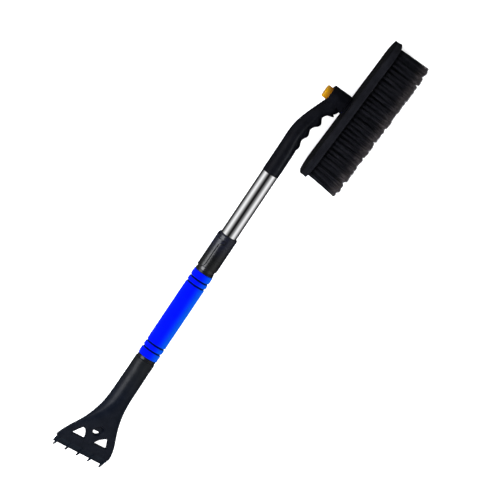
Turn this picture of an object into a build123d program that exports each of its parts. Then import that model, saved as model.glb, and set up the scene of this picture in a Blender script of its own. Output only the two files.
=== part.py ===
from build123d import *
import math
import os

# Telescopic snow brush with an ice scraper, lying on its side on a flat surface.
# +X runs along the shaft from the scraper to the brush, +Z is up, the bristles point to -Y
# and the release button to +Y. The origin is the centre of the footprint. Millimetres.

os.makedirs("parts", exist_ok=True)

# ---------------------------------------------------------------- driving dimensions
# Shaft coordinates: x along the shaft, y and z across it, the shaft's axis is y = z = 0.
SHIFT = (-375.899, 27.621, 34.832)     # from shaft coordinates to the part's own frame
TWIST = 27.4                       # turn of the scraper end about the shaft, degrees

# scraper head
NECK_X1 = 174.5                    # end of the round neck
BEND_X = 90.0                      # where the head starts to bend down
BEND_R = 267.0
# station x, half width, half thickness, squareness of the section
HEAD = [
    (174.5, 15.1, 15.1, 2.0),
    (160.0, 15.15, 15.15, 2.0),
    (145.0, 15.3, 15.3, 2.0),
    (130.0, 15.45, 15.45, 2.0),
    (116.0, 15.6, 15.6, 2.0),
    (103.0, 16.5, 15.1, 2.05),
    (94.0, 17.9, 14.3, 2.1),
    (86.0, 19.9, 13.0, 2.2),
    (77.0, 22.9, 11.0, 2.35),
    (68.6, 26.4, 8.9, 2.5),
    (60.0, 30.7, 6.6, 2.7),
    (51.5, 35.6, 4.6, 2.9),
    (43.0, 40.5, 3.5, 3.1),
    (34.3, 44.7, 3.0, 3.4),
    (27.0, 47.3, 3.0, 3.8),
    (18.6, 48.9, 3.1, 4.4),
]
WINDOW = [(31.7, 33.2), (31.5, 7.6), (48.2, 23.9)]   # outer base, inner base, apex: x, half width
WINDOW_BULGE = (41.2, 12.2)
SLOT_X = 51.6                      # hang slot
SLOT_R, SLOT_FLAT = 6.6, 0.9       # round below, cut straight across this far below its centre
DISH_R, WEB_T = 7.7, 3.2
# blade
BLADE_W, BLADE_T, BLADE_OUT, BLADE_IN = 93.2, 2.8, 11.6, 9.4
BLADE_DY, RIB_DY = -0.8, -2.2      # the blade and its ribs sit a little to one side
RIB_N, RIB_PITCH, RIB_T, RIB_OUT, RIB_H = 5, 21.4, 2.0, 5.3, 1.9

# fixed tube, grip and collars
OUT_R, OUT_RI = 13.45, 12.75
OUT_X0, OUT_X1 = 96.0, 379.5
FOAM_X0, FOAM_X1, FOAM_R = 179.3, 324.6, 15.1
FOAM_GROOVES = (191.4, 200.9, 304.0, 312.7)
GROOVE_W, GROOVE_D = 1.9, 1.1
COLLAR_R = 14.3
# lock
SLEEVE_X0, SLEEVE_X1, SLEEVE_R = 333.2, 388.4, 15.0
PIVOT_X, PIVOT_R, PIN_R = 383.6, 14.5, 0.8
ROOT_W, EAR_W = 2.8, 4.6           # half widths of the lever's root and over the ears
# sliding tube
TUBE_R, TUBE_RI = 12.45, 11.65
TUBE_X0, TUBE_X1 = 186.0, 495.2
# brush grip and hub
GRIP_X0 = 495.3
RAKE = 2.9                         # lean of the hub's axis, degrees
HUB_P = (634.9, -37.9)             # where the hub's axis meets the block's back: x, y
HUB_R, HUB_RI = 14.5, 11.5
HUB_H0, HUB_H1 = 3.4, 30.9
BTN_R, BTN_OUT = 9.4, 8.5
RING_FLAT = 5.2                    # half width of the flats that key the index ring to the spindle
# brush head
BLOCK_L, BLOCK_W, END_W = 229.0, 56.0, 26.0
BACK_T, PLATE_T = 8.0, 3.5
TIP_H = 60.0                       # back of the block to the bristle tips
ROW_Z = (-20.0, -10.0, 0.0, 10.0, 20.0)
ROW_T = 5.2


# ---------------------------------------------------------------- helpers
def cyl(p, d, r, h):
    """A cylinder from point p along d."""
    return Solid.make_cylinder(r, h, Plane(origin=p, z_dir=d))


def tube_x(x0, x1, r, ri):
    return cyl((x0, 0, 0), (1, 0, 0), r, x1 - x0) - cyl((x0 - 1, 0, 0), (1, 0, 0), ri, x1 - x0 + 2)


def turned(points):
    """A solid turned about the X axis from a closed outline of (x, radius)."""
    wire = Wire.make_polygon([(x, r, 0) for x, r in points], close=True)
    return Solid.revolve(Face(wire), 360, Axis((0, 0, 0), (1, 0, 0)))


def box(x0, x1, y0, y1, z0, z1):
    return Solid.make_box(x1 - x0, y1 - y0, z1 - z0, Plane(origin=(x0, y0, z0)))


def one(shape):
    """The shape's solids as one plain shape."""
    s = shape.solids()
    return s[0] if len(s) == 1 else Compound(children=list(s))


def only(shape):
    """The shape without stray faces or edges, ready for more cuts."""
    return Part() + shape.solids()


def superellipse(a, b, n, count=28):
    pts = []
    for i in range(count):
        t = 2 * math.pi * i / count
        c, s = math.cos(t), math.sin(t)
        pts.append((a * math.copysign(abs(c) ** (2 / n), c), b * math.copysign(abs(s) ** (2 / n), s)))
    return pts


def closed_face(points):
    return Face(Wire([Edge.make_spline([Vector(*p) for p in points], periodic=True)]))


OUT = {}


def put(name, shape, twist=False):
    """Moves a piece from shaft coordinates to the part's frame and keeps it under its name."""
    if twist:
        shape = shape.rotate(Axis((0, 0, 0), (1, 0, 0)), TWIST)
    OUT[name] = shape.translate(SHIFT)


def safe_fillet(shape, edges, r):
    edges = list(edges)
    if not edges:
        return shape
    for k in (1.0, 0.75, 0.5, 0.3):
        try:
            got = shape.fillet(r * k, edges)
            if got.is_valid and got.volume > 0:
                if k < 1:
                    print("fillet cut to", round(r * k, 2), "from", r)
                return got
        except Exception:
            pass
    print("fillet skipped", r, len(edges))
    return shape


# ---------------------------------------------------------------- scraper head
# Its width lies along y and its face towards +z; it bends towards -z below BEND_X.
def bend(x):
    """Centre z and pitch angle of the head at station x."""
    if x >= BEND_X:
        return 0.0, 0.0
    phi = math.asin((BEND_X - x) / BEND_R)
    return -BEND_R * (1 - math.cos(phi)), phi


sections = []
for x, a, b, n in HEAD:
    zc, phi = bend(x)
    up = (-math.sin(phi), math.cos(phi))
    pts = [(x + q * up[0], p, zc + q * up[1]) for p, q in superellipse(a, b, n)]
    sections.append(closed_face(pts))
fan = Solid.make_loft([f.outer_wire() for f in sections])
# bore for the fixed tube
bore = cyl((OUT_X0 - 8, 0, 0), (1, 0, 0), OUT_RI + 0.1, 60)
seat_bore = cyl((OUT_X0, 0, 0), (1, 0, 0), OUT_R, 100)
fan = safe_fillet(fan, [e for e in fan.edges() if (e @ 0.3).X > NECK_X1 - 0.1], 0.8)
head = fan - seat_bore - bore
zc_w, phi_w = bend(39.0)
z_slot, phi_slot = bend(SLOT_X)
z_end, phi_end = bend(HEAD[-1][0])


def head_plane(x):
    """A plane on the head's middle surface at station x: its x runs along the shaft, its z out of the face."""
    zc, phi = bend(x)
    return Plane(origin=(x, 0, zc), x_dir=(math.cos(phi), 0, math.sin(phi)), z_dir=(-math.sin(phi), 0, math.cos(phi)))


def on(plane, x, y, z=0.0):
    return plane.from_local_coords(Vector(x, y, z))


pw = head_plane(39.0)
for side in (1, -1):
    o, i, t = [(x - 39.0, side * w) for x, w in WINDOW]
    bulge = (WINDOW_BULGE[0] - 39.0, side * WINDOW_BULGE[1])
    wire = Wire([
        Edge.make_line(on(pw, *t), on(pw, *o)),
        Edge.make_line(on(pw, *o), on(pw, *i)),
        Edge.make_three_point_arc(on(pw, *i), on(pw, *bulge), on(pw, *t)),
    ])
    face = Face(wire)
    cutter = Solid.extrude(face.translate(pw.z_dir * -20), pw.z_dir * 40)
    cutter = safe_fillet(cutter, [e for e in cutter.edges() if e.length > 39], 1.3)
    head = head - cutter
# dished hang slot: round below and straight above
ps = head_plane(SLOT_X)
for sgn in (1, -1):
    base = on(ps, 0, 0, sgn * WEB_T / 2)
    d = ps.z_dir * sgn
    cone = Solid.make_cone(DISH_R, DISH_R + 3.2, 8.0, Plane(origin=base, z_dir=d))
    head = head - cone
slot = cyl(on(ps, 0, 0, -20), ps.z_dir, SLOT_R, 40)
keep_below = Solid.make_box(30, 40, 60, Plane(origin=on(ps, -30 - SLOT_FLAT, -20, -30), x_dir=ps.x_dir, z_dir=ps.z_dir))
slot = slot & keep_below
slot = safe_fillet(slot, [e for e in slot.edges() if e.length > 39], 1.6)
head = head - slot
# mouth that holds the blade
pe = head_plane(HEAD[-1][0])
mouth = Solid.make_box(BLADE_IN + 20, BLADE_W, BLADE_T, Plane(origin=on(pe, -20, BLADE_DY - BLADE_W / 2, -BLADE_T / 2), x_dir=pe.x_dir, z_dir=pe.z_dir))
head = head - mouth
# two blind screws on the back hold the blade, one on the neck holds the tube
blade_screws, blade_holes = [], []
for y in (-36.0, 36.0):
    p = on(pe, 5.5, y, -BLADE_T / 2 - 7.0)
    hole = cyl(p, pe.z_dir, 1.2, 7.0 + BLADE_T - 0.4)
    seat = cyl(p, pe.z_dir, 2.4, 6.2)
    head = head - hole - seat
    blade_holes.append(hole)
    top = on(pe, 5.5, y, -BLADE_T / 2 - 1.4)
    s = cyl(top, pe.z_dir, 1.2, 1.4 + BLADE_T - 0.5) + cyl(on(pe, 5.5, y, -BLADE_T / 2 - 1.9), pe.z_dir, 2.2, 1.05)
    cross = Solid.make_box(2.6, 0.6, 0.7, Plane(origin=on(pe, 5.5 - 1.3, y - 0.3, -BLADE_T / 2 - 2.0), x_dir=pe.x_dir, z_dir=pe.z_dir)) + \
        Solid.make_box(0.6, 2.6, 0.7, Plane(origin=on(pe, 5.5 - 0.3, y - 1.3, -BLADE_T / 2 - 2.0), x_dir=pe.x_dir, z_dir=pe.z_dir))
    blade_screws.append(s - cross)
neck_hole = cyl((146, 0, -20), (0, 0, 1), 1.6, 20 - OUT_RI - 0.05) + cyl((146, 0, -20), (0, 0, 1), 3.1, 20 - 14.3)
head = head - neck_hole
neck_screw = cyl((146, 0, -14.6), (0, 0, 1), 1.6, 14.6 - OUT_RI - 0.1) + cyl((146, 0, -15.2), (0, 0, 1), 2.9, 0.9)
neck_screw = neck_screw - box(144.4, 147.6, -0.35, 0.35, -15.4, -14.8) - box(145.65, 146.35, -1.6, 1.6, -15.4, -14.8)
put("scraper_head", one(head), True)
put("blade_screws", Compound(children=[one(s) for s in blade_screws]), True)
put("neck_screw", one(neck_screw), True)

# blade with five chipping ribs
t2 = BLADE_T / 2
prof = [(BLADE_IN - 0.3, -t2 + 0.05), (BLADE_IN - 0.3, t2 - 0.05), (-4.0, t2 - 0.05), (-BLADE_OUT, -t2 + 0.55), (-BLADE_OUT, -t2 + 0.05)]
wire = Wire.make_polygon([on(pe, x, BLADE_DY - BLADE_W / 2 + 0.1, z) for x, z in prof], close=True)
blade = Solid.extrude(Face(wire), Vector(0, BLADE_W - 0.2, 0))
for k in range(RIB_N):
    y = (k - (RIB_N - 1) / 2) * RIB_PITCH + RIB_DY
    rib = [(-1.0, t2 - 0.3), (-1.5, t2 + 0.7), (-4.5, t2 + RIB_H - 0.6), (-BLADE_OUT, -t2 + 3.0), (-BLADE_OUT - RIB_OUT + 0.8, -t2 + 1.7),
           (-BLADE_OUT - RIB_OUT, -t2 + 0.9), (-BLADE_OUT - RIB_OUT + 0.4, -t2 + 0.1), (-BLADE_OUT - 1.0, -t2 + 0.05), (-BLADE_OUT + 1.2, -t2 + 0.06)]
    wire = Wire.make_polygon([on(pe, x, y - RIB_T / 2, z) for x, z in rib], close=True)
    blade = blade + Solid.extrude(Face(wire), Vector(0, RIB_T, 0))
for h in blade_holes:
    blade = blade - h
put("scraper_blade", one(blade), True)

# ---------------------------------------------------------------- fixed tube, collars, foam
outer_tube = tube_x(OUT_X0, OUT_X1, OUT_R, OUT_RI) - cyl((146, 0, -20), (0, 0, 1), 1.6, 20 - OUT_RI + 1) - box(PIVOT_X - 5.0, PIVOT_X + 3.0, 8.0, 20, -ROOT_W - 0.3, ROOT_W + 0.3)
put("outer_tube", one(outer_tube), True)
put("lower_collar", one(turned([(NECK_X1 + 0.05, OUT_R), (NECK_X1 + 0.05, 13.9), (NECK_X1 + 0.5, COLLAR_R), (FOAM_X0 - 0.6, COLLAR_R), (FOAM_X0 - 0.05, 13.9), (FOAM_X0 - 0.05, OUT_R)])), True)
put("upper_collar", one(turned([(FOAM_X1 + 0.05, OUT_R), (FOAM_X1 + 0.05, 13.9), (FOAM_X1 + 0.5, COLLAR_R), (FOAM_X1 + 3.3, COLLAR_R), (FOAM_X1 + 3.8, 13.9), (FOAM_X1 + 3.8, OUT_R)])), True)
foam_pts = [(FOAM_X0, OUT_R), (FOAM_X0, FOAM_R - 1.0), (FOAM_X0 + 0.9, FOAM_R)]
for g in FOAM_GROOVES:
    foam_pts += [(g - GROOVE_W / 2 - 0.6, FOAM_R), (g - 0.35, FOAM_R - GROOVE_D), (g + 0.35, FOAM_R - GROOVE_D), (g + GROOVE_W / 2 + 0.6, FOAM_R)]
foam_pts += [(FOAM_X1 - 0.9, FOAM_R), (FOAM_X1, FOAM_R - 1.0), (FOAM_X1, OUT_R)]
put("foam_grip", one(turned(foam_pts)), True)

# ---------------------------------------------------------------- lever lock, lever on the +y side
sleeve = turned([
    (SLEEVE_X0, 12.6), (SLEEVE_X0, 14.2), (SLEEVE_X0 + 1.0, SLEEVE_R), (SLEEVE_X1 - 2.2, SLEEVE_R),
    (SLEEVE_X1 - 0.7, SLEEVE_R - 0.6), (SLEEVE_X1, SLEEVE_R - 1.7), (SLEEVE_X1, 12.6)])
# ears that carry the lever's pin
ears = cyl((PIVOT_X, PIVOT_R, -EAR_W), (0, 0, 1), 1.9, 2 * EAR_W) + box(PIVOT_X - 1.9, PIVOT_X + 1.9, 13.3, PIVOT_R, -EAR_W, EAR_W)
sleeve = sleeve + (ears & cyl((PIVOT_X - 5, 0, 0), (1, 0, 0), 16.0, 10))
BUSH_R = 13.1
sleeve = sleeve - cyl((SLEEVE_X0 - 5, 0, 0), (1, 0, 0), OUT_R, OUT_X1 + 0.3 - SLEEVE_X0 + 5)
sleeve = sleeve - cyl((OUT_X1 - 2, 0, 0), (1, 0, 0), BUSH_R, 100)
# pocket under the lever's tongue, and the slot for its cam
def sector(x0, x1, r0, r1, half_deg):
    """A piece of a ring round the shaft, centred on +y."""
    a0, a1 = math.radians(90 - half_deg), math.radians(90 + half_deg)
    p = lambda r, a: Vector(x0, r * math.sin(a), r * math.cos(a))
    m = math.pi / 2
    wire = Wire([
        Edge.make_three_point_arc(p(r0, a0), p(r0, m), p(r0, a1)), Edge.make_line(p(r0, a1), p(r1, a1)),
        Edge.make_three_point_arc(p(r1, a1), p(r1, m), p(r1, a0)), Edge.make_line(p(r1, a0), p(r0, a0))])
    return Solid.extrude(Face(wire), Vector(x1 - x0, 0, 0))


POCKET_R = 13.4                    # the tongue lies in a window that is open down to the fixed tube
TONGUE_W, FLARE_W = 8.5, 12.9


def lever_outline(gap):
    """The lever's outline seen from outside, as an x-z face to push along y: round tip, straight sides, flared root."""
    tip, root, w, f = SLEEVE_X0 - 2.6 - gap, PIVOT_X - 4.2 + gap, TONGUE_W + gap, FLARE_W + gap
    side = [(SLEEVE_X0 + 6.0, w), (PIVOT_X - 14.4, w)]
    flare = [(PIVOT_X - 14.4, w), (PIVOT_X - 12.2 - 0.5 * gap, w + 0.25), (PIVOT_X - 10.1 - gap, w + 1.2), (PIVOT_X - 8.1 - gap, f - 0.9), (PIVOT_X - 6.0 - gap, f)]
    edges = []
    P = lambda x, z: Vector(x, 0, z)
    edges.append(Edge.make_three_point_arc(P(side[0][0], w), P(tip, 0), P(side[0][0], -w)))
    for q in (-1, 1):
        pts = [P(x, q * z) for x, z in flare]
        edges.append(Edge.make_line(P(side[0][0], q * w), P(side[1][0], q * w)))
        edges.append(Edge.make_spline(pts, tangents=[Vector(1, 0, 0), Vector(1, 0, 0)]))
        edges.append(Edge.make_line(pts[-1], P(root, q * f)))
    edges.append(Edge.make_line(P(root, -f), P(root, f)))
    return Face(Wire.combine(edges)[0])


def push(face, y0, y1):
    return Solid.extrude(face.translate((0, y0, 0)), Vector(0, y1 - y0, 0))


pocket = push(lever_outline(1.2), 2.0, 22.0) - cyl((SLEEVE_X0 - 20, 0, 0), (1, 0, 0), POCKET_R, 90)
sleeve = sleeve - pocket
SLOT_W = ROOT_W + 0.3
cam_slot = box(PIVOT_X - 5.0, PIVOT_X + 3.0, 8.0, 20, -SLOT_W, SLOT_W)
sleeve = sleeve - cam_slot
sleeve = sleeve - cyl((PIVOT_X, PIVOT_R, -10), (0, 0, 1), PIN_R, 20)
put("lock_sleeve", one(sleeve), True)
put("lever_pin", one(cyl((PIVOT_X, PIVOT_R, -4.3), (0, 0, 1), PIN_R, 8.6)), True)
# nylon liner the sliding tube runs in
bush = tube_x(OUT_X1 + 0.4, SLEEVE_X1 - 0.3, BUSH_R - 0.01, TUBE_R + 0.06) - cam_slot
put("sleeve_bush", one(bush), True)
shoe = sector(PIVOT_X - 4.7, PIVOT_X + 2.7, TUBE_R + 0.06, 13.05, 14.0) & box(PIVOT_X - 4.7, PIVOT_X + 2.7, 0, 13.04, -ROOT_W, ROOT_W)
put("brake_shoe", one(shoe), True)

# lever: crowned tongue with a narrow root and an eccentric cam round the pin
crown = cyl((SLEEVE_X0 - 10, 1.4, 0), (1, 0, 0), 13.95, 80)
tongue = (push(lever_outline(0), 2.0, 22.0) - cyl((SLEEVE_X0 - 20, 0, 0), (1, 0, 0), OUT_R + 0.3, 90)) & crown
root = box(PIVOT_X - 5.5, PIVOT_X, OUT_R + 0.3, PIVOT_R + 0.95, -ROOT_W, ROOT_W)
cam = cyl((PIVOT_X - 0.15, PIVOT_R - 0.12, -ROOT_W), (0, 0, 1), 1.3, 2 * ROOT_W)
lever = tongue + (root - cyl((PIVOT_X, PIVOT_R, -5), (0, 0, 1), 1.1, 10)) + cam
lever = lever - cyl((PIVOT_X, PIVOT_R, -10), (0, 0, 1), PIN_R + 0.05, 20)
# finger catch under the tip
lever = lever + (sector(SLEEVE_X0 - 1.2, SLEEVE_X0 + 0.8, 14.4, 16.2, 20.0) & box(SLEEVE_X0 - 2, SLEEVE_X0 + 2, 0, 15.9, -6, 6))
put("lock_lever", one(lever), True)

# ---------------------------------------------------------------- sliding tube and its end plug
tube = tube_x(TUBE_X0, TUBE_X1, TUBE_R, TUBE_RI) - cyl((483.0, 0, -20), (0, 0, 1), 1.4, 20)
tube = tube - cyl((483.0, 0, -TUBE_R - 2), (0, 0, 1), 2.65, 2.35)
put("inner_tube", one(tube))
plug = cyl((TUBE_X0 - 10.0, 0, 0), (1, 0, 0), OUT_RI - 0.05, 9.95) + cyl((TUBE_X0 - 0.06, 0, 0), (1, 0, 0), TUBE_RI - 0.05, 16.0)
plug = plug - cyl((TUBE_X0 - 12, 0, 0), (1, 0, 0), 8.6, 30)
put("guide_plug", one(plug), True)

# ---------------------------------------------------------------- brush grip and hub
ra = math.radians(RAKE)
HB = Vector(math.sin(ra), math.cos(ra), 0)      # hub's axis, from the block towards the button
BL = Vector(math.cos(ra), -math.sin(ra), 0)     # along the block
HP = Vector(HUB_P[0], HUB_P[1], 0)


def hub(h, l=0.0, z=0.0):
    """A point at height h above the block's back, l along the block and z up."""
    return HP + HB * h + BL * l + Vector(0, 0, z)


# stations of the grip: a point on its back, a point on its finger side and the half width across
GRIP = [
    ((495.3, 12.9), (495.3, -12.9), 12.9),
    ((505.0, 12.85), (505.0, -12.85), 12.85),
    ((515.0, 12.8), (515.0, -12.8), 12.8),
    ((527.0, 12.75), (527.0, -12.65), 12.7),
    ((539.0, 12.75), (539.0, -12.3), 12.6),
    ((549.5, 12.9), (549.0, -11.2), 12.5),
    ((558.5, 12.9), (557.5, -10.3), 12.3),
    ((568.0, 12.5), (566.0, -10.4), 12.1),
    ((577.5, 11.1), (573.5, -11.2), 11.9),
    ((587.0, 8.7), (580.5, -12.3), 11.7),
    ((597.0, 5.4), (588.5, -13.7), 11.6),
    ((606.5, 1.8), (596.0, -15.4), 11.7),
    ((614.5, -1.4), (603.0, -17.6), 12.0),
    ((621.0, -4.0), (610.5, -23.6), 12.4),
    ((626.5, -6.2), (618.5, -31.4), 12.8),
    ((634.5, -10.2), (632.5, -36.2), 12.4),
]
wires = []
for (ux, uy), (lx, ly), b in GRIP:
    vx, vy = ux - lx, uy - ly
    a = math.hypot(vx, vy) / 2
    pl = Plane(origin=((ux + lx) / 2, (uy + ly) / 2, 0), x_dir=(vx, vy, 0), z_dir=(vy, -vx, 0))
    pts = [pl.from_local_coords(Vector(p, q, 0)) for p, q in superellipse(a, b, 2.0, 24)]
    wires.append(closed_face([tuple(v) for v in pts]).outer_wire())
grip = Solid.make_loft(wires)
# finger side: a ridged profile that rounds over towards both sides
RIDGE = [
    (541.0, -9.0), (543.8, -12.2), (548.5, -13.5), (552.7, -12.6), (556.8, -11.0), (561.0, -11.4), (564.8, -13.5), (568.4, -15.1),
    (572.0, -14.6), (576.0, -13.0), (580.5, -13.1), (585.0, -16.0), (588.7, -19.9), (592.4, -21.2), (597.5, -18.9), (603.5, -17.4),
    (607.2, -19.6), (609.6, -25.0)]
SPUR = [(609.6, -25.0), (611.4, -30.4), (614.0, -28.0), (619.0, -30.6), (622.0, -33.0)]
INSIDE = [(628.0, -30.0), (628.0, -10.0), (560.0, -2.0), (541.0, -4.0)]
RIDGE_R, RIDGE_HALF = 10.6, 9.6


def ridge_wire(z):
    h = RIDGE_R - math.sqrt(RIDGE_R ** 2 - z ** 2)
    low = [Vector(x, y + h * (0.35 if x < 545 else 1.0), z) for x, y in RIDGE]
    rest = [Vector(x, y + h, z) for x, y in SPUR[1:]] + [Vector(x, y, z) for x, y in INSIDE]
    pts = [low[-1]] + rest + [low[0]]
    return Wire([Edge.make_spline(low)] + [Edge.make_line(pts[i], pts[i + 1]) for i in range(len(pts) - 1)])


slab = Solid.make_loft([ridge_wire(z) for z in (-9.6, -8.6, -7.0, -4.5, -1.6, 1.6, 4.5, 7.0, 8.6, 9.6)])
print("slab", slab.is_valid, round(slab.volume, 1))
grip = grip + slab
housing = cyl(hub(HUB_H0), HB, HUB_R, HUB_H1 - HUB_H0)
housing = safe_fillet(housing, [e for e in housing.edges() if (e @ 0.5 - hub(HUB_H1)).dot(HB) > -0.1], 0.9)
grip = grip + housing
# nothing of the grip reaches past the hub's foot or above its bore
foot = Solid.make_cylinder(60, 30, Plane(origin=hub(HUB_H0 - 30), z_dir=HB))
grip = grip - foot
# chambers of the hub
grip = grip - cyl(hub(HUB_H0 - 1), HB, HUB_RI, 12.0)          # index chamber, open to the brush
grip = grip - cyl(hub(17.0), HB, HUB_RI, 11.9)                 # button chamber
grip = grip - cyl(hub(28.5), HB, BTN_R + 0.15, 10)             # mouth for the button
grip = grip - cyl(hub(10), HB, 5.95, 10)                       # bearing of the spindle
LEG_R, LEG_C, LEG_A = 1.3, 9.85, 15
for k in range(3):
    a = math.radians(120 * k + LEG_A)
    grip = grip - cyl(hub(12, LEG_C * math.cos(a), LEG_C * math.sin(a)), HB, LEG_R + 0.2, 8)
# index teeth of the hub
TEETH, T_IN, T_OUT = 12, 9.9, 11.5
for k in range(TEETH):
    a = 2 * math.pi * k / TEETH
    c, s = math.cos(a), math.sin(a)
    pl = Plane(origin=hub(11.4), x_dir=tuple(BL * c + Vector(0, 0, 1) * s), z_dir=HB)
    tooth = Solid.extrude(Face(Wire.make_polygon([pl.from_local_coords(Vector(p, q, 0)) for p, q in
                          ((T_IN, -0.7), (T_OUT + 0.3, -1.4), (T_OUT + 0.3, 1.4), (T_IN, 0.7))], close=True)), HB * 2.9)
    grip = grip + tooth
# hollow spigot that fits inside the sliding tube
SCREW_X = 483.0
grip = grip + cyl((GRIP_X0 - 28, 0, 0), (1, 0, 0), TUBE_RI - 0.02, 40)
grip = grip - cyl((GRIP_X0 - 29, 0, 0), (1, 0, 0), 8.8, 75)
grip = grip - cyl((SCREW_X, 0, -20), (0, 0, 1), 1.4, 14)
put("brush_grip", one(grip))
gs = cyl((SCREW_X, 0, -TUBE_R - 0.1), (0, 0, 1), 1.4, 4.2) + cyl((SCREW_X, 0, -TUBE_R - 0.9), (0, 0, 1), 2.6, 0.9)
gs = gs - box(SCREW_X - 1.6, SCREW_X + 1.6, -0.3, 0.3, -TUBE_R - 1.1, -TUBE_R - 0.45) - box(SCREW_X - 0.3, SCREW_X + 0.3, -1.6, 1.6, -TUBE_R - 1.1, -TUBE_R - 0.45)
put("grip_screw", one(gs))

# ---------------------------------------------------------------- button, index ring, spring
btn = cyl(hub(25.9), HB, BTN_R, HUB_H1 + BTN_OUT - 25.9)
btn = safe_fillet(btn, [e for e in btn.edges() if (e @ 0.5 - hub(HUB_H1 + BTN_OUT)).dot(HB) > -0.1], 1.6)
btn = btn + cyl(hub(25.9), HB, 10.9, 2.4)
btn = btn - cyl(hub(25.0), HB, 7.0, 4.0)
for k in range(3):
    a = math.radians(120 * k + LEG_A)
    btn = btn + cyl(hub(11.3, LEG_C * math.cos(a), LEG_C * math.sin(a)), HB, LEG_R, 15.2)
put("release_button", one(btn))
ring = cyl(hub(8.0), HB, 9.7, 3.0)
for k in range(TEETH):
    a = 2 * math.pi * (k + 0.5) / TEETH
    c, s = math.cos(a), math.sin(a)
    pl = Plane(origin=hub(8.0), x_dir=tuple(BL * c + Vector(0, 0, 1) * s), z_dir=HB)
    ring = ring + Solid.extrude(Face(Wire.make_polygon([pl.from_local_coords(Vector(p, q, 0)) for p, q in
                                ((9.0, -1.5), (11.1, -0.8), (11.1, 0.8), (9.0, 1.5))], close=True)), HB * 3.0)
ring = ring - (cyl(hub(7), HB, 6.2, 5) & Solid.make_box(20, 2 * RING_FLAT, 6, Plane(origin=hub(7, -10, RING_FLAT), x_dir=tuple(BL), z_dir=HB)))
put("index_ring", one(ring))
helix = Edge.make_helix(1.85, 7.35, 7.7, center=hub(17.75), normal=HB)
prof_p = Plane(origin=helix @ 0, z_dir=helix % 0)
spring = sweep(Face(Wire.make_circle(0.55, prof_p)), path=helix, is_frenet=True)
put("button_spring", one(spring))

# ---------------------------------------------------------------- swivel spindle on the brush block
sp = cyl(hub(0.0), HB, 13.6, 3.0)
sp = safe_fillet(sp, [e for e in sp.edges() if (e @ 0.5 - hub(3.0)).dot(HB) > -0.1], 0.5)
key = Solid.make_box(20, 2 * RING_FLAT - 0.6, 10.1, Plane(origin=hub(2.9, -10, RING_FLAT - 0.3), x_dir=tuple(BL), z_dir=HB))
sp = sp + (cyl(hub(2.9), HB, 5.9, 10.1) & key) + cyl(hub(12.9), HB, 5.9, 5.2)
sp = sp - cyl(hub(6.0), HB, 1.9, 20)
screws = []
for k in range(3):
    a = math.radians(120 * k)
    p = lambda h: hub(h, 9.6 * math.cos(a), 9.6 * math.sin(a))
    sp = sp - cyl(p(-1), HB, 1.6, 10) - cyl(p(1.6), HB, 2.7, 5)
    s = cyl(p(-6.5), HB, 1.55, 8.2) + cyl(p(1.62), HB, 2.6, 1.2)
    s = s - cyl(p(2.2), HB, 1.0, 2)
    screws.append(one(s))
put("swivel_spindle", one(sp))
put("spindle_screws", Compound(children=screws))
wash = cyl(hub(18.12), HB, 6.6, 1.0) - cyl(hub(17), HB, 1.95, 5)
put("retaining_washer", one(wash))
rs = cyl(hub(7.0), HB, 1.85, 12.4) + cyl(hub(19.14), HB, 3.6, 2.4)
rs = rs - cyl(hub(20.3), HB, 1.6, 3)
put("retaining_screw", one(rs))

# ---------------------------------------------------------------- brush block
def outline(extra, h):
    """The block's outline at height h, seen along the hub's axis: straight sides, ends drawn in to a flat."""
    L, W, E = BLOCK_L / 2 + extra, BLOCK_W / 2 + extra, END_W / 2 + extra
    pt = lambda l, z: hub(h, l, z)
    M = 78.0
    K = ((L + M) / 2 + 6, W - 3.6)
    edges = []
    for q in (1, -1):
        s = lambda l, z: pt(q * l, q * z)
        edges += [
            Edge.make_line(s(-M, W), s(M, W)),
            Edge.make_three_point_arc(s(M, W), s(*K), s(L - 1.5, E)),
            Edge.make_line(s(L - 1.5, E), s(L, E - 1.8)),
            Edge.make_line(s(L, E - 1.8), s(L, -E + 1.8)),
            Edge.make_line(s(L, -E + 1.8), s(L - 1.5, -E)),
            Edge.make_three_point_arc(s(L - 1.5, -E), s(K[0], -K[1]), s(M, -W)),
        ]
    return Face(Wire(edges))


back = Solid.extrude(outline(0, -BACK_T), HB * BACK_T)
back_top = [e for e in back.edges() if abs((e @ 0.5 - hub(0)).dot(HB)) < 0.05]
back = safe_fillet(back, back_top, 1.6)
hollow = Solid.extrude(outline(-3.0, -BACK_T), HB * (BACK_T - 3.2))
boss = cyl(hub(-BACK_T), HB, 15.0, BACK_T - 1)
cross_ribs = []
for l in (-78, -40, 40, 78):
    c = Plane(origin=hub(-BACK_T, l, 0), x_dir=tuple(BL), z_dir=HB)
    cross_ribs.append(Solid.make_box(2.4, 60, BACK_T - 1, Plane(origin=c.from_local_coords(Vector(-1.2, -30, 0)), x_dir=tuple(BL), z_dir=HB)))
cavity = hollow - boss
for r in cross_ribs:
    cavity = cavity - r
back = back - cavity
for k in range(3):
    a = math.radians(120 * k)
    back = back - cyl(hub(-6.5, 9.6 * math.cos(a), 9.6 * math.sin(a)), HB, 1.55, 8)
plate = Solid.extrude(outline(0.5, -BACK_T - PLATE_T), HB * PLATE_T)
plate_low = [e for e in plate.edges() if abs((e @ 0.5 - hub(-BACK_T - PLATE_T)).dot(HB)) < 0.05]
plate = safe_fillet(plate, plate_low, 0.8)
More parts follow.
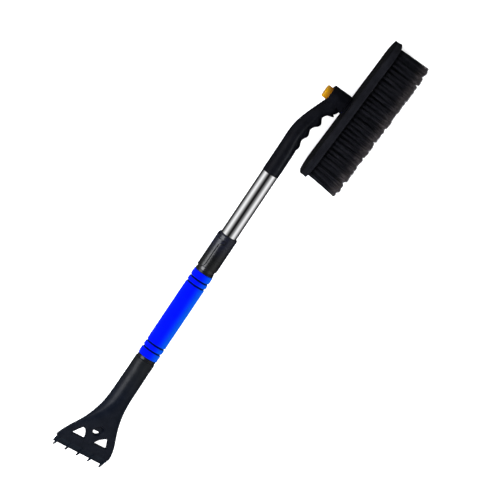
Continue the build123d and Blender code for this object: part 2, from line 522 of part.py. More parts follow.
# side rivets through the plate's edge: three each side
def half_width(l):
    """Half width of the block's outline at l along it."""
    l = abs(l)
    if l <= 78.0:
        return BLOCK_W / 2
    (x1, y1), (x2, y2), (x3, y3) = (78.0, BLOCK_W / 2), ((BLOCK_L / 2 + 78.0) / 2 + 6, BLOCK_W / 2 - 3.6), (BLOCK_L / 2 - 1.5, END_W / 2)
    a, b, c, d = 2 * (x2 - x1), 2 * (y2 - y1), 2 * (x3 - x1), 2 * (y3 - y1)
    e, f = x2 * x2 - x1 * x1 + y2 * y2 - y1 * y1, x3 * x3 - x1 * x1 + y3 * y3 - y1 * y1
    cx, cy = (e * d - b * f) / (a * d - b * c), (a * f - e * c) / (a * d - b * c)
    return cy + math.sqrt((x1 - cx) ** 2 + (y1 - cy) ** 2 - (l - cx) ** 2)


rivets = []
for l in (-98.0, 4.0, 106.0):
    for q in (1, -1):
        zs = half_width(l) + 0.5
        p0 = hub(-BACK_T - PLATE_T / 2, l, q * (zs - 6.5))
        d = Vector(0, 0, q)
        n = 6.5 - (0.0 if abs(l) < 78 else 0.45)
        rv = cyl(p0 + d * 0.05, d, 0.9, n) + cyl(p0 + d * n, d, 1.25, 0.6)
        plate = plate - cyl(p0, d, 0.9, 14) - cyl(p0 + d * (n - 0.02), d, 1.3, 10)
        rivets.append(one(rv))
put("brush_back", one(back))
put("bristle_plate", one(plate))
put("plate_rivets", Compound(children=rivets))

# bristle rows: one plain slab for each row of tufts, spreading a little towards the tips
ROOT = -BACK_T - PLATE_T
for i, z in enumerate(ROW_Z):
    L0 = 109.5 if abs(z) < 5 else (107.0 if abs(z) < 15 else 97.0)
    L1, L1_LOW = L0 + 1.2, L0 + 5.0
    zt = z * 1.16
    T0, T1 = ROW_T, ROW_T + 2.0
    low = Wire.make_polygon([hub(ROOT, l, z + s * T0 / 2) for l, s in ((-L0, -1), (L0, -1), (L0, 1), (-L0, 1))], close=True)
    tip = Wire.make_polygon([hub(-TIP_H, l, zt + s * T1 / 2) for l, s in ((-L1_LOW, -1), (L1, -1), (L1, 1), (-L1_LOW, 1))], close=True)
    put("bristle_row_%d" % (i + 1), one(Solid.make_loft([low, tip], ruled=True)))

# ---------------------------------------------------------------- export
lo = [1e9] * 3
hi = [-1e9] * 3
for name, shape in sorted(OUT.items()):
    export_step(shape, "parts/%s.step" % name)
    bb = shape.bounding_box()
    lo = [min(lo[i], tuple(bb.min)[i]) for i in range(3)]
    hi = [max(hi[i], tuple(bb.max)[i]) for i in range(3)]
print("nodes", len(OUT), "low", [round(v, 3) for v in lo], "high", [round(v, 3) for v in hi])
print("centre", [round((lo[i] + hi[i]) / 2, 3) for i in range(3)])
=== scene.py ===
import math

import bpy
import numpy as np
from mathutils import Matrix, Vector


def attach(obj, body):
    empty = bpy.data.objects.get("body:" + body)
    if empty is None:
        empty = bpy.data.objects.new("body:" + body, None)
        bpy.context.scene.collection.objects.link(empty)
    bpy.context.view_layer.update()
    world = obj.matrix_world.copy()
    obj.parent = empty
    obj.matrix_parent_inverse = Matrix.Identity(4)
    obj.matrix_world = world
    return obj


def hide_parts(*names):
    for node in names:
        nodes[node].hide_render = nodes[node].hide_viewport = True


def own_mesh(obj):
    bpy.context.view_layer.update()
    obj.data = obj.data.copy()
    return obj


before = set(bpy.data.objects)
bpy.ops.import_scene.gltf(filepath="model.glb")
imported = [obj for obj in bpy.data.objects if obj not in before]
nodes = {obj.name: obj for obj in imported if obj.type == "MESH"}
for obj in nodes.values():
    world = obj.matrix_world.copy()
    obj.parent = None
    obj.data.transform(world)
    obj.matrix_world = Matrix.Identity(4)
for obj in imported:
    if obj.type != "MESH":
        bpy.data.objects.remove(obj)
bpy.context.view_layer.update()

# The shaft's axis runs along X through this point; all sizes are in metres.
SHIFT = Vector((-0.375899, 0.027621, 0.034832))
RAKE = math.radians(2.9)
HP = SHIFT + Vector((0.6349, -0.0379, 0.0))                 # where the hub's axis meets the block's back
HB = Vector((math.sin(RAKE), math.cos(RAKE), 0.0))          # out of the block's back
BL = Vector((math.cos(RAKE), -math.sin(RAKE), 0.0))         # along the block
rng = np.random.default_rng(20761)

# ------------------------------------------------------------------ camera
THETA, RHO, ROLL = math.radians(9.5), math.radians(6.0), math.radians(33.86)
PX = 0.00141
DIST = 30.0
c = Vector((math.sin(THETA), math.cos(THETA) * math.sin(RHO), math.cos(THETA) * math.cos(RHO)))
d = (Vector((1, 0, 0)) - c * c.x).normalized()
n = d.cross(c)
right = d * math.sin(ROLL) + n * math.cos(ROLL)
up = d * math.cos(ROLL) - n * math.sin(ROLL)
centre = SHIFT + d * (270.54 * PX) + n * (26.29 * PX) + up * (0.95 * PX) + right * (0.0 * PX)
cam_data = bpy.data.cameras.new("camera")
cam = bpy.data.objects.new("camera", cam_data)
bpy.context.scene.collection.objects.link(cam)
cam.matrix_world = Matrix(((right.x, up.x, c.x, 0), (right.y, up.y, c.y, 0), (right.z, up.z, c.z, 0), (0, 0, 0, 1)))
cam.location = centre + c * DIST
cam_data.sensor_width = 36
cam_data.lens = 36 * DIST / (500 * PX) * 0.9988
cam_data.clip_start = 1.0
cam_data.clip_end = 120
bpy.context.scene.camera = cam
bpy.context.scene.view_settings.view_transform = "Standard"


# ------------------------------------------------------------------ node helpers
class Tree:
    """A small writer of node trees."""

    def __init__(self, material):
        self.nt = material.node_tree
        self.n, self.l = self.nt.nodes, self.nt.links
        self.bsdf = self.n["Principled BSDF"]
        self.coord = self.n.new("ShaderNodeTexCoord").outputs["Object"]

    def link(self, a, b):
        self.l.new(a, b)

    def put(self, value, socket):
        if hasattr(value, "is_output"):
            self.l.new(value, socket)
        else:
            socket.default_value = value

    def scaled(self, scale, turn=(0, 0, 0)):
        m = self.n.new("ShaderNodeMapping")
        m.inputs["Scale"].default_value = scale
        m.inputs["Rotation"].default_value = turn
        self.link(self.coord, m.inputs["Vector"])
        return m.outputs["Vector"]

    def noise(self, scale, detail=3.0, rough=0.55, vector=None, distortion=0.0):
        t = self.n.new("ShaderNodeTexNoise")
        t.inputs["Scale"].default_value = scale
        t.inputs["Detail"].default_value = detail
        t.inputs["Roughness"].default_value = rough
        t.inputs["Distortion"].default_value = distortion
        self.link(vector or self.coord, t.inputs["Vector"])
        return t.outputs["Fac"]

    def voronoi(self, scale, vector=None, feature="F1"):
        t = self.n.new("ShaderNodeTexVoronoi")
        t.feature = feature
        t.inputs["Scale"].default_value = scale
        self.link(vector or self.coord, t.inputs["Vector"])
        return t.outputs["Distance"]

    def span(self, value, a, b, lo=0.0, hi=1.0):
        m = self.n.new("ShaderNodeMapRange")
        m.interpolation_type = "SMOOTHSTEP"
        m.inputs["From Min"].default_value = a
        m.inputs["From Max"].default_value = b
        m.inputs["To Min"].default_value = lo
        m.inputs["To Max"].default_value = hi
        self.link(value, m.inputs["Value"])
        return m.outputs["Result"]

    def math(self, op, a, b=0.0):
        m = self.n.new("ShaderNodeMath")
        m.operation = op
        self.put(a, m.inputs[0])
        self.put(b, m.inputs[1])
        return m.outputs[0]

    def along(self, direction, origin):
        """Distance of the shaded point from origin along direction."""
        s = self.n.new("ShaderNodeVectorMath")
        s.operation = "SUBTRACT"
        self.link(self.coord, s.inputs[0])
        s.inputs[1].default_value = origin
        p = self.n.new("ShaderNodeVectorMath")
        p.operation = "DOT_PRODUCT"
        self.link(s.outputs[0], p.inputs[0])
        p.inputs[1].default_value = direction
        return p.outputs["Value"]

    def mix(self, fac, a, b):
        m = self.n.new("ShaderNodeMix")
        m.data_type = "RGBA"
        self.put(fac, m.inputs[0])
        for v, s in ((a, m.inputs[6]), (b, m.inputs[7])):
            if hasattr(v, "is_output"):
                self.link(v, s)
            else:
                s.default_value = (*v, 1.0) if len(v) == 3 else v
        return m.outputs[2]

    def bump(self, height, distance, strength=1.0, normal=None):
        b = self.n.new("ShaderNodeBump")
        b.inputs["Strength"].default_value = strength
        b.inputs["Distance"].default_value = distance
        self.link(height, b.inputs["Height"])
        if normal is not None:
            self.link(normal, b.inputs["Normal"])
        return b.outputs["Normal"]


def material(name):
    m = bpy.data.materials.new(name)
    m.use_nodes = True
    return m, Tree(m)


def plastic(name, dark, light, rough=(0.36, 0.5), spec=0.3, grain=1500.0, grain_depth=0.00004, mottle=70.0, scuff=None, extra=None, coat=0.0):
    """Moulded plastic: mottled colour, a fine spark-eroded grain and, where it's told, faint scuffs."""
    m, t = material(name)
    b = t.bsdf
    big = t.noise(mottle, 4.0, 0.6)
    fine = t.noise(grain * 0.5, 2.0, 0.5)
    colour = t.mix(t.span(big, 0.35, 0.65), dark, light)
    colour = t.mix(t.span(fine, 0.55, 0.8, 0.0, 0.5), colour, [min(1.0, v * 1.9 + 0.002) for v in light])
    if extra:
        colour = extra(t, colour)
    normal = t.bump(t.noise(grain, 2.0, 0.6), grain_depth, 0.6)
    if scuff:
        where, tint = scuff(t)
        colour = t.mix(where, colour, tint)
        normal = t.bump(where, 0.00008, 0.35, normal)
    t.link(colour, b.inputs["Base Color"])
    t.link(normal, b.inputs["Normal"])
    t.link(t.span(t.noise(mottle * 2.3, 3.0, 0.6), 0.3, 0.7, rough[0], rough[1]), b.inputs["Roughness"])
    b.inputs["Specular IOR Level"].default_value = spec
    b.inputs["Coat Weight"].default_value = coat
    b.inputs["Coat Roughness"].default_value = 0.2
    return m


def metal(name, colour, worn, rough=(0.1, 0.18), streak=(20, 900, 900), depth=0.00001, scratch=0.0, metallic=1.0):
    """Drawn or turned metal: fine streaks along the piece."""
    m, t = material(name)
    b = t.bsdf
    lines = t.noise(1.0, 3.0, 0.6, t.scaled(streak))
    patch = t.noise(45.0, 3.0, 0.55)
    col = t.mix(t.span(lines, 0.35, 0.7), colour, worn)
    col = t.mix(t.span(patch, 0.55, 0.8, 0.0, 0.35), col, [v * 0.8 for v in worn])
    t.link(col, b.inputs["Base Color"])
    b.inputs["Metallic"].default_value = metallic
    t.link(t.span(patch, 0.3, 0.75, rough[0], rough[1]), b.inputs["Roughness"])
    t.link(t.bump(lines, depth, 0.5), b.inputs["Normal"])
    return m


# ------------------------------------------------------------------ materials
def rubbed(scale, low, high, tint, x_from=None, x_to=None):
    """Fine crossing scratches, where the noise and the place along the shaft allow them."""
    def make(t):
        a = t.noise(1.0, 4.0, 0.7, t.scaled((scale * 0.12, scale, scale), (0.0, 0.0, 0.35)))
        b = t.noise(1.0, 4.0, 0.7, t.scaled((scale * 0.12, scale, scale), (0.0, 0.0, -0.5)))
        w = t.math("MAXIMUM", t.span(a, low, high), t.span(b, low, high))
        if x_from is not None:
            w = t.math("MULTIPLY", w, t.span(t.along((1, 0, 0), tuple(SHIFT)), x_to, x_from))
        return w, tint
    return make


def slate(t, colour):
    """The lock's plastic turns from olive charcoal at its lower end to slate at its upper end."""
    x = t.along((1, 0, 0), tuple(SHIFT))
    return t.mix(t.span(x, 0.345, 0.378, 0.0, 0.55), colour, (0.0085, 0.0100, 0.0230))


# painted sheen: the scraper's neck is lightened to an olive grey towards the foam
def olive(t, colour):
    x = t.along((1, 0, 0), tuple(SHIFT))
    return t.mix(t.span(x, 0.10, 0.17, 0.0, 0.5), colour, (0.0085, 0.0090, 0.0080))


def back_painted_shade(t, colour):
    """Painted shade: the brush block's flat back is darkened below the tone of its walls."""
    h = t.along(tuple(HB), tuple(HP))
    return t.mix(t.span(h, -0.0030, -0.0008, 0.0, 0.75), colour, (0.0010, 0.0010, 0.0014))


black_plastic = plastic("black_plastic", (0.0024, 0.0036, 0.0070), (0.0042, 0.0056, 0.0098), (0.30, 0.40), 0.065,
                        scuff=rubbed(900.0, 0.60, 0.74, (0.018, 0.019, 0.022), 0.045, 0.085), extra=olive)
blade_plastic = plastic("blade_plastic", (0.0024, 0.0044, 0.0085), (0.0042, 0.0068, 0.0120), (0.30, 0.4), 0.09,
                        scuff=rubbed(1100.0, 0.58, 0.74, (0.020, 0.024, 0.030)))
lock_plastic = plastic("lock_plastic", (0.0036, 0.0039, 0.0040), (0.0055, 0.0059, 0.0060), (0.22, 0.30), 0.27, extra=slate)
grip_plastic = plastic("grip_plastic", (0.0018, 0.0020, 0.0030), (0.0032, 0.0034, 0.0050), (0.30, 0.38), 0.032, grain=1200.0, grain_depth=0.00006)
brush_plastic = plastic("brush_plastic", (0.0036, 0.0038, 0.0054), (0.0062, 0.0064, 0.0086), (0.38, 0.48), 0.06, grain=1300.0,
                        scuff=rubbed(700.0, 0.66, 0.80, (0.02, 0.02, 0.023)), extra=back_painted_shade)
collar_plastic = plastic("collar_plastic", (0.0055, 0.0056, 0.0068), (0.0075, 0.0076, 0.0092), (0.24, 0.32), 0.14)
tube_black = plastic("tube_black", (0.0050, 0.0050, 0.0054), (0.0080, 0.0080, 0.0084), (0.20, 0.27), 0.42, grain=1800.0, grain_depth=0.000015,
                     scuff=rubbed(1500.0, 0.60, 0.75, (0.05, 0.05, 0.052)))
pole_metal = metal("pole_metal", (0.80, 0.80, 0.81), (0.88, 0.88, 0.89), (0.035, 0.07), (12, 1400, 1400), 0.0000012)
nylon_black = plastic("nylon_black", (0.0040, 0.0042, 0.0056), (0.0066, 0.0068, 0.0088), (0.4, 0.5), 0.06, grain=900.0)
pin_steel = metal("pin_steel", (0.055, 0.055, 0.058), (0.085, 0.085, 0.090), (0.3, 0.42), (500, 500, 500), 0.00001)
steel = metal("steel", (0.50, 0.50, 0.52), (0.64, 0.64, 0.66), (0.2, 0.32), (500, 500, 500), 0.00001)


def button_painted_shade(t, colour):
    """Painted shade: the button is darkened to a deeper orange towards its foot."""
    h = t.along(tuple(HB), tuple(HP))
    return t.mix(t.span(h, 0.0310, 0.0385, 0.75, 0.0), colour, (0.25, 0.080, 0.002))


button_plastic = plastic("button_plastic", (0.34, 0.160, 0.0015), (0.40, 0.195, 0.003), (0.18, 0.26), 0.18, grain=700.0, grain_depth=0.00001,
                         extra=button_painted_shade, coat=0.08)


def foam_material():
    m, t = material("blue_foam")
    b = t.bsdf
    x0 = (0.0, SHIFT.y, SHIFT.z)
    s = t.n.new("ShaderNodeVectorMath"); s.operation = "SUBTRACT"
    t.link(t.coord, s.inputs[0]); s.inputs[1].default_value = x0
    f = t.n.new("ShaderNodeVectorMath"); f.operation = "MULTIPLY"
    t.link(s.outputs[0], f.inputs[0]); f.inputs[1].default_value = (0, 1, 1)
    r = t.n.new("ShaderNodeVectorMath"); r.operation = "LENGTH"
    t.link(f.outputs[0], r.inputs[0])
    radius = r.outputs["Value"]
    big = t.noise(60.0, 4.0, 0.6)
    cells = t.voronoi(1900.0)
    pores = t.span(t.noise(1400.0, 3.0, 0.6), 0.62, 0.78)
    col = t.mix(t.span(big, 0.3, 0.7), (0.0001, 0.0022, 0.57), (0.0002, 0.0036, 0.63))
    col = t.mix(t.span(cells, 0.0, 0.45, 0.25, 0.0), col, (0.0001, 0.0018, 0.46))
    col = t.mix(t.math("MULTIPLY", pores, 0.35), col, (0.0, 0.0012, 0.30))
    # painted sheen: a lighter azure is painted along one side of the foam, standing in for light falling on that side
    side = t.along((0.0, -0.995, 0.104), tuple(SHIFT))
    side_sheen = t.math("POWER", t.span(side, -0.002, 0.0150), 2.2)
    col = t.mix(side_sheen, col, (0.0012, 0.0700, 0.46))
    # painted shade: the foam is darkened to deep navy inside its grooves
    col = t.mix(t.span(radius, 0.01395, 0.01480, 1.0, 0.0), col, (0.0, 0.0008, 0.022))
    t.link(col, b.inputs["Base Color"])
    height = t.math("SUBTRACT", t.math("MULTIPLY", cells, 0.7), pores)
    t.link(t.bump(height, 0.00012, 0.6, t.bump(t.noise(160.0, 3.0, 0.5), 0.0004, 0.35)), b.inputs["Normal"])
    t.link(t.span(big, 0.3, 0.7, 0.70, 0.84), b.inputs["Roughness"])
    b.inputs["Specular IOR Level"].default_value = 0.01
    b.inputs["Sheen Weight"].default_value = 0.22
    b.inputs["Sheen Roughness"].default_value = 0.45
    b.inputs["Sheen Tint"].default_value = (0.0, 0.22, 1.0, 1.0)
    return m


def bristle_material():
    m, t = material("bristle")
    b = t.bsdf
    h = t.along(tuple(-HB), tuple(HP))
    l = t.along(tuple(BL), tuple(HP))
    geo = t.n.new("ShaderNodeNewGeometry")
    each = geo.outputs["Random Per Island"]
    base = t.mix(each, (0.0022, 0.0023, 0.0036), (0.0115, 0.0118, 0.0160))
    # painted highlight: lighter streaks along the filaments stand in for highlights on the tufts
    streak = t.noise(1.0, 2.0, 0.5, t.scaled((190, 40, 190)))
    base = t.mix(t.span(streak, 0.50, 0.70, 0.0, 0.5), base, (0.0200, 0.0195, 0.0235))
    tip_tone = t.mix(each, (0.014, 0.0125, 0.0145), (0.085, 0.074, 0.074))
    edge = t.math("ADD", h, t.math("MULTIPLY", t.math("SUBTRACT", each, 0.5), 0.007))
    col = t.mix(t.span(edge, 0.0455, 0.0590), base, tip_tone)
    # painted shade: the filaments are darkened near their roots, where the tufts crowd together
    col = t.mix(t.span(h, 0.0105, 0.0160, 0.20, 0.0), col, (0.0030, 0.0030, 0.0040))
    t.link(col, b.inputs["Base Color"])
    t.link(t.span(t.noise(500.0), 0.3, 0.7, 0.42, 0.6), b.inputs["Roughness"])
    b.inputs["Specular IOR Level"].default_value = 0.10
    return m


blue_foam = foam_material()
bristle = bristle_material()

GIVE = {
    black_plastic: ("scraper_head",),
    blade_plastic: ("scraper_blade",),
    lock_plastic: ("lock_sleeve", "lock_lever"),
    collar_plastic: ("lower_collar", "upper_collar"),
    grip_plastic: ("brush_grip", "swivel_spindle"),
    brush_plastic: ("brush_back", "bristle_plate", "plate_rivets"),
    nylon_black: ("guide_plug", "index_ring", "sleeve_bush", "brake_shoe"),
    pin_steel: ("lever_pin",),
    button_plastic: ("release_button",),
    tube_black: ("outer_tube",),
    pole_metal: ("inner_tube",),
    steel: ("blade_screws", "neck_screw", "grip_screw", "button_spring", "spindle_screws", "retaining_washer", "retaining_screw"),
    blue_foam: ("foam_grip",),
    bristle: tuple("bristle_row_%d" % i for i in range(1, 6)),
}
for mat, names in GIVE.items():
    for name in names:
        ob = nodes[name]
        if len(ob.material_slots) == 0:
            ob.data.materials.append(mat)
        for slot in ob.material_slots:
            slot.material = mat


# ------------------------------------------------------------------ mesh helper
def mesh_object(name, verts, quads, tris=None, smooth=True):
    """A mesh from arrays of corners, four-sided faces and three-sided faces."""
    me = bpy.data.meshes.new(name)
    verts = np.asarray(verts, dtype=np.float32)
    quads = np.asarray(quads, dtype=np.int32).reshape(-1, 4)
    tris = np.zeros((0, 3), dtype=np.int32) if tris is None else np.asarray(tris, dtype=np.int32).reshape(-1, 3)
    me.vertices.add(len(verts))
    me.vertices.foreach_set("co", verts.ravel())
    loops = np.concatenate([quads.ravel(), tris.ravel()])
    me.loops.add(len(loops))
    me.loops.foreach_set("vertex_index", loops)
    starts = np.concatenate([np.arange(len(quads)) * 4, len(quads) * 4 + np.arange(len(tris)) * 3]).astype(np.int32)
    me.polygons.add(len(starts))
    me.polygons.foreach_set("loop_start", starts)
    me.polygons.foreach_set("use_smooth", np.full(len(starts), smooth, dtype=bool))
    me.update(calc_edges=True)
    me.validate()
    ob = bpy.data.objects.new(name, me)
    bpy.context.scene.collection.objects.link(ob)
    return ob


# ------------------------------------------------------------------ foam sleeve
FX0, FX1, FR, FRI = 0.1793, 0.3246, 0.0151, 0.01352
GROOVES = (0.1914, 0.2009, 0.3040, 0.3127)


def foam_sleeve():
    """A sleeve of soft foam: five bands with pressed grooves between them, each band slightly crowned, ends rounded over."""
    xs = [FX0]
    while xs[-1] < FX1 - 1e-6:
        gap = min(abs(xs[-1] - g) for g in GROOVES + (FX0, FX1))
        xs.append(min(FX1, xs[-1] + (0.00022 if gap < 0.0026 else 0.0007)))
    xs = np.array(xs)
    edges = np.array((FX0,) + GROOVES + (FX1,))
    seg = 112
    ang = np.arange(seg) * 2 * np.pi / seg
    outer = []
    waves = [(rng.uniform(20, 90), rng.integers(1, 5), rng.uniform(0, 6.28), rng.uniform(0.5, 1.0)) for _ in range(9)]
    for x in xs:
        r = FR
        for g in GROOVES:
            q = abs(x - g) / 0.00205
            if q < 1:
                r -= 0.00142 * (math.cos(q * math.pi) * 0.5 + 0.5) ** 0.7
        for e in (FX0, FX1):
            q = abs(x - e)
            if q < 0.0016:
                r -= 0.0016 - math.sqrt(max(0.0, 0.0016 ** 2 - (0.0016 - q) ** 2)) if q > 0 else 0.0016
        r = max(r, FRI + 0.00018)
        k = int(np.searchsorted(edges, x, side="right")) - 1
        k = min(max(k, 0), len(edges) - 2)
        a, b = edges[k], edges[k + 1]
        w = (x - a) / (b - a)
        crown = 0.00016 * math.sin(math.pi * w) if b - a < 0.02 else 0.00010 * (1 - abs(2 * w - 1) ** 6)
        wob = sum(s * np.sin(x * f * 6.28 + q * ang + p) for f, q, p, s in waves) / len(waves)
        outer.append(r - 0.00012 + crown + 0.00011 * wob)
    outer = np.array(outer)
    N = len(xs)
    cs, sn = np.cos(ang), np.sin(ang)
    vo = np.stack([np.repeat(xs, seg).reshape(N, seg), outer * cs, outer * sn], -1).reshape(-1, 3)
    ends = []
    for x in (FX0, FX1):
        ends.append(np.stack([np.full(seg, x), FRI * cs, FRI * sn], -1))
    v = np.concatenate([vo] + ends) + np.array(SHIFT)
    q = []
    j = np.arange(seg)
    j2 = (j + 1) % seg
    for i in range(N - 1):
        q.append(np.stack([i * seg + j, (i + 1) * seg + j, (i + 1) * seg + j2, i * seg + j2], -1)[:, ::-1])
    lo, hi = N * seg, (N + 1) * seg
    q.append(np.stack([lo + j, j, j2, lo + j2], -1)[:, ::-1])
    q.append(np.stack([(N - 1) * seg + j, hi + j, hi + j2, (N - 1) * seg + j2], -1)[:, ::-1])
    q.append(np.stack([hi + j, lo + j, lo + j2, hi + j2], -1)[:, ::-1])
    ob = mesh_object("foam_sleeve", v, np.concatenate(q))
    ob.data.materials.append(blue_foam)
    return ob


foam = foam_sleeve()
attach(foam, "handle")
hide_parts("foam_grip")

# ------------------------------------------------------------------ bristles
ROW_Z = (-0.020, -0.010, 0.0, 0.010, 0.020)
ROW_L = (0.097, 0.107, 0.1095, 0.107, 0.097)
ROOT_H, TIP_H = 0.0111, 0.0604
PITCH = 0.0068
FILAMENTS = 84
KNOTS = 8                     # points along a filament
TUFT_R, SPREAD = 0.0020, 0.0034
FIL_R = 0.00021


def bristle_row(index):
    """One row of tufts. Each filament is a thin three-sided rod with a slight crimp; its tip is split."""
    z0, half = ROW_Z[index], ROW_L[index]
    count = int(round((2 * half - 0.004) / PITCH))
    ls = np.linspace(-half - 0.0006, half - 0.0012, count)
    ls[1:-1] += np.clip(rng.normal(0, 0.00045, count - 2), -0.0008, 0.0008)
    if index % 2:
        ls[1:-1] += PITCH * 0.25
    F = FILAMENTS
    T = count
    rr = np.sqrt(rng.random((T, F)))
    ph = rng.random((T, F)) * 2 * np.pi
    root_l = ls[:, None] + TUFT_R * rr * np.cos(ph)
    root_z = z0 + rng.normal(0, 0.00025, (T, 1)) + TUFT_R * rr * np.sin(ph)
    # lean of each tuft, and the fan at the block's two ends
    lean_l = rng.normal(0, 0.00120, (T, 1)) + rng.normal(0, 0.00060, (T, F))
    lean_l[0] *= 0.3
    lean_l[-1] *= 0.3
    lean_z = rng.normal(0, 0.00050, (T, 1)) + rng.normal(0, 0.00045, (T, F))
    near = np.clip((-ls - (half - 0.030)) / 0.030, 0, 1)[:, None] ** 1.3 * 0.0031
    far = np.clip((ls - (half - 0.020)) / 0.020, 0, 1)[:, None] ** 1.3 * -0.0013
    size = SPREAD * (1 + rng.normal(0, 0.06, (T, 1)))
    tip_l = ls[:, None] + size * rr * np.cos(ph) + lean_l - near + far
    tip_z = z0 * 1.16 + size * rr * np.sin(ph) + lean_z
    length = TIP_H - 0.0012 * rr ** 2.5 + rng.normal(0, 0.00065, (T, F)) + rng.normal(0, 0.00055, (T, 1))
    tip_h = np.minimum(length, 0.0616)
    s = np.linspace(0, 1, KNOTS)
    bend = s ** 1.35
    L = root_l[..., None] + (tip_l - root_l)[..., None] * bend
    Z = root_z[..., None] + (tip_z - root_z)[..., None] * bend
    H = ROOT_H + (tip_h - ROOT_H)[..., None] * s
    crimp_a = 0.00022
    p1, p2 = rng.random((T, F, 1)) * 6.28, rng.random((T, F, 1)) * 6.28
    k1 = 6.28 * (3.6 + rng.random((T, F, 1)))
    fade = np.clip(s * 3, 0, 1)
    L = L + crimp_a * np.sin(k1 * s + p1) * fade
    Z = Z + crimp_a * np.sin(k1 * s + p2) * fade
    P = np.stack([L, Z, H], -1).reshape(T * F, KNOTS, 3)
    M = T * F
    turn = rng.random(M) * 6.28
    rad = FIL_R * (0.85 + 0.3 * rng.random(M))
    taper = np.interp(s, (0, 0.8, 1.0), (1.0, 0.95, 0.55))
    ring = []
    for k in range(3):
        a = turn + k * 2 * np.pi / 3
        off = np.stack([np.cos(a), np.sin(a), np.zeros(M)], -1)[:, None, :] * (rad[:, None] * taper[None, :])[..., None]
        ring.append(P + off)
    V = np.stack(ring, 2).reshape(-1, 3)                       # filament, knot, corner
    base = np.arange(M)[:, None] * KNOTS * 3
    quads = []
    for i in range(KNOTS - 1):
        for k in range(3):
            k2 = (k + 1) % 3
            quads.append(np.stack([base[:, 0] + i * 3 + k, base[:, 0] + i * 3 + k2, base[:, 0] + (i + 1) * 3 + k2, base[:, 0] + (i + 1) * 3 + k], -1))
    top = base[:, 0] + (KNOTS - 1) * 3
    tris = [np.stack([top, top + 1, top + 2], -1), np.stack([base[:, 0], base[:, 0] + 2, base[:, 0] + 1], -1)]
    # split tips: one or two finer wisps leave each filament near its end
    W = 2
    start = P[:, KNOTS - 2, :] * 0.55 + P[:, KNOTS - 1, :] * 0.45
    end = P[:, KNOTS - 1, :]
    wv, wq, wt = [], [], []
    offset = len(V)
    for w in range(W):
        drift = rng.normal(0, 0.00055, (M, 2))
        e = end.copy()
        e[:, :2] += drift
        e[:, 2] = np.minimum(e[:, 2] + rng.normal(0.00005, 0.00035, M), 0.0616)
        r1, r2 = rad * 0.55, rad * 0.22
        for place, r in ((start, r1), (e, r2)):
            for k in range(3):
                a = turn + 0.9 + k * 2 * np.pi / 3
                wv.append(place + np.stack([np.cos(a) * r, np.sin(a) * r, np.zeros(M)], -1))
        b0 = offset + (w * 6) * M
        idx = lambda q: b0 + q * M + np.arange(M)
        for k in range(3):
            k2 = (k + 1) % 3
            wq.append(np.stack([idx(k), idx(k2), idx(3 + k2), idx(3 + k)], -1))
        wt.append(np.stack([idx(3), idx(4), idx(5)], -1))
        wt.append(np.stack([idx(0), idx(2), idx(1)], -1))
    V = np.concatenate([V] + wv)
    world = np.array(HP)[None, :] + V[:, 0:1] * np.array(BL) + V[:, 1:2] * np.array((0, 0, 1.0)) - V[:, 2:3] * np.array(HB)
    ob = mesh_object("bristles_%d" % (index + 1), world, np.concatenate(quads + wq)[:, ::-1], np.concatenate(tris + wt)[:, ::-1])
    ob.data.materials.append(bristle)
    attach(ob, "brush_head")
    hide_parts("bristle_row_%d" % (index + 1))
    return ob


for i in range(5):
    bristle_row(i)

# ------------------------------------------------------------------ spring under the button
# A copy of the coil rides with the button, in place of the spring from the file.
cad_spring = nodes["button_spring"]
coil = cad_spring.copy()
coil.data = cad_spring.data.copy()
coil.name = "spring_coil"
for key in list(coil.keys()):
    del coil[key]
bpy.context.scene.collection.objects.link(coil)
coil.matrix_world = cad_spring.matrix_world.copy()
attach(coil, "button")
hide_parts("button_spring")
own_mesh(coil)

# ------------------------------------------------------------------ floor and light
floor_size = 6.0
floor = mesh_object("floor", [(-floor_size, -floor_size, -0.0003), (floor_size, -floor_size, -0.0003), (floor_size, floor_size, -0.0003), (-floor_size, floor_size, -0.0003)], [(0, 1, 2, 3)], smooth=False)
fm, ft = material("floor")
ft.link(ft.mix(ft.noise(3.0, 2.0), (0.90, 0.90, 0.90), (0.93, 0.93, 0.93)), ft.bsdf.inputs["Base Color"])
ft.bsdf.inputs["Roughness"].default_value = 0.9
ft.bsdf.inputs["Specular IOR Level"].default_value = 0.0
ft.bsdf.inputs["Emission Color"].default_value = (1, 1, 1, 1)
ft.bsdf.inputs["Emission Strength"].default_value = 0.62
floor.data.materials.append(fm)
floor.visible_glossy = False

world = bpy.data.worlds.new("world")
bpy.context.scene.world = world
world.use_nodes = True
wn, wl = world.node_tree.nodes, world.node_tree.links
bg = wn["Background"]
tc = wn.new("ShaderNodeTexCoord")
sep = wn.new("ShaderNodeSeparateXYZ")
wl.new(tc.outputs["Generated"], sep.inputs[0])


def wmath(op, a, b=0.0):
    m = wn.new("ShaderNodeMath")
    m.operation = op
    for v, s in ((a, m.inputs[0]), (b, m.inputs[1])):
        if hasattr(v, "is_output"):
            wl.new(v, s)
        else:
            s.default_value = v
    return m.outputs[0]


# softboxes on both long sides of the shaft: bright from 26 to 103 degrees off the vertical, dark above and below
psi = wmath("ADD", wmath("ARCTAN2", wmath("MULTIPLY", sep.outputs["Y"], -1.0), sep.outputs["Z"]), math.radians(2.0))
off = wmath("DIVIDE", wmath("ABSOLUTE", psi), math.pi)
ramp = wn.new("ShaderNodeValToRGB")
wl.new(off, ramp.inputs[0])
STOPS = ((0.0, 0.005), (0.045, 0.008), (0.085, 0.055), (0.145, 0.22), (0.222, 0.60), (0.300, 1.0), (0.390, 1.02), (0.485, 0.54), (0.596, 0.125), (0.70, 0.03), (1.0, 0.02))
cr = ramp.color_ramp
while len(cr.elements) < len(STOPS):
    cr.elements.new(0.5)
for e, (p, v) in zip(cr.elements, STOPS):
    e.position = p
    e.color = (v, v, v, 1)
ends = wn.new("ShaderNodeMapRange")
ends.inputs["From Min"].default_value = 0.80
ends.inputs["From Max"].default_value = 0.97
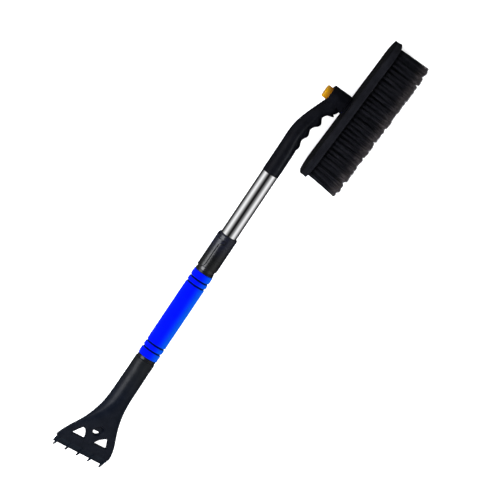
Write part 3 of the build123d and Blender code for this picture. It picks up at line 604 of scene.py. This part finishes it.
wl.new(wmath("ABSOLUTE", sep.outputs["X"]), ends.inputs["Value"])
mixed = wn.new("ShaderNodeMix")
mixed.data_type = "RGBA"
wl.new(ends.outputs["Result"], mixed.inputs[0])
wl.new(ramp.outputs["Color"], mixed.inputs[6])
mixed.inputs[7].default_value = (0.35, 0.35, 0.35, 1)
wl.new(mixed.outputs[2], bg.inputs["Color"])
bg.inputs["Strength"].default_value = 1.0
plain = wn.new("ShaderNodeBackground")
plain.inputs["Color"].default_value = (1, 1, 1, 1)
plain.inputs["Strength"].default_value = 1.0
path = wn.new("ShaderNodeLightPath")
pick = wn.new("ShaderNodeMixShader")
wl.new(path.outputs["Is Camera Ray"], pick.inputs[0])
wl.new(bg.outputs[0], pick.inputs[1])
wl.new(plain.outputs[0], pick.inputs[2])
wl.new(pick.outputs[0], wn["World Output"].inputs["Surface"])


def softbox(name, place, aim, size, size_y, energy, colour=(1, 1, 1), glossy=True, spread=180.0):
    data = bpy.data.lights.new(name, "AREA")
    data.shape = "RECTANGLE"
    data.size, data.size_y = size, size_y
    data.energy = energy
    data.color = colour
    data.spread = math.radians(spread)
    ob = bpy.data.objects.new(name, data)
    bpy.context.scene.collection.objects.link(ob)
    ob.location = place
    way = Vector(aim) - Vector(place)
    ob.rotation_euler = way.to_track_quat("-Z", "Y").to_euler()
    ob.visible_camera = False
    ob.visible_glossy = glossy
    return ob


left = softbox("light_left", (-0.50, 1.00, 0.90), (-0.25, 0.03, 0.03), 0.6, 1.0, 26.0, (0.95, 0.965, 1.0))
# the bare pole shows only the long soft bands, not the edge of this softbox
unlit = bpy.data.collections.new("unlit_by_left")
unlit.objects.link(nodes["inner_tube"])
unlit.collection_objects[0].light_linking.link_state = "EXCLUDE"
left.light_linking.receiver_collection = unlit
shaded = bpy.data.collections.new("unlit_by_right")
for name in ("lock_sleeve", "lock_lever", "outer_tube", "upper_collar", "lower_collar", "inner_tube"):
    shaded.objects.link(nodes[name])
for item in shaded.collection_objects:
    item.light_linking.link_state = "EXCLUDE"
right_box = softbox("light_right", (0.25, -0.98, 0.92), (0.25, 0.0, 0.03), 0.30, 0.45, 12.0, (0.90, 0.94, 1.0))
grip_box = softbox("light_grip", (0.03, -0.53, 0.35), (0.15, 0.0, 0.035), 0.16, 0.12, 0.032, (0.80, 0.88, 1.0), spread=25.0)
softbox("light_top", (0.0, 0.1, 2.6), (0.0, 0.0, 0.0), 2.0, 2.0, 30.0, glossy=False)

right_box.light_linking.receiver_collection = shaded
grip_box.light_linking.receiver_collection = shaded
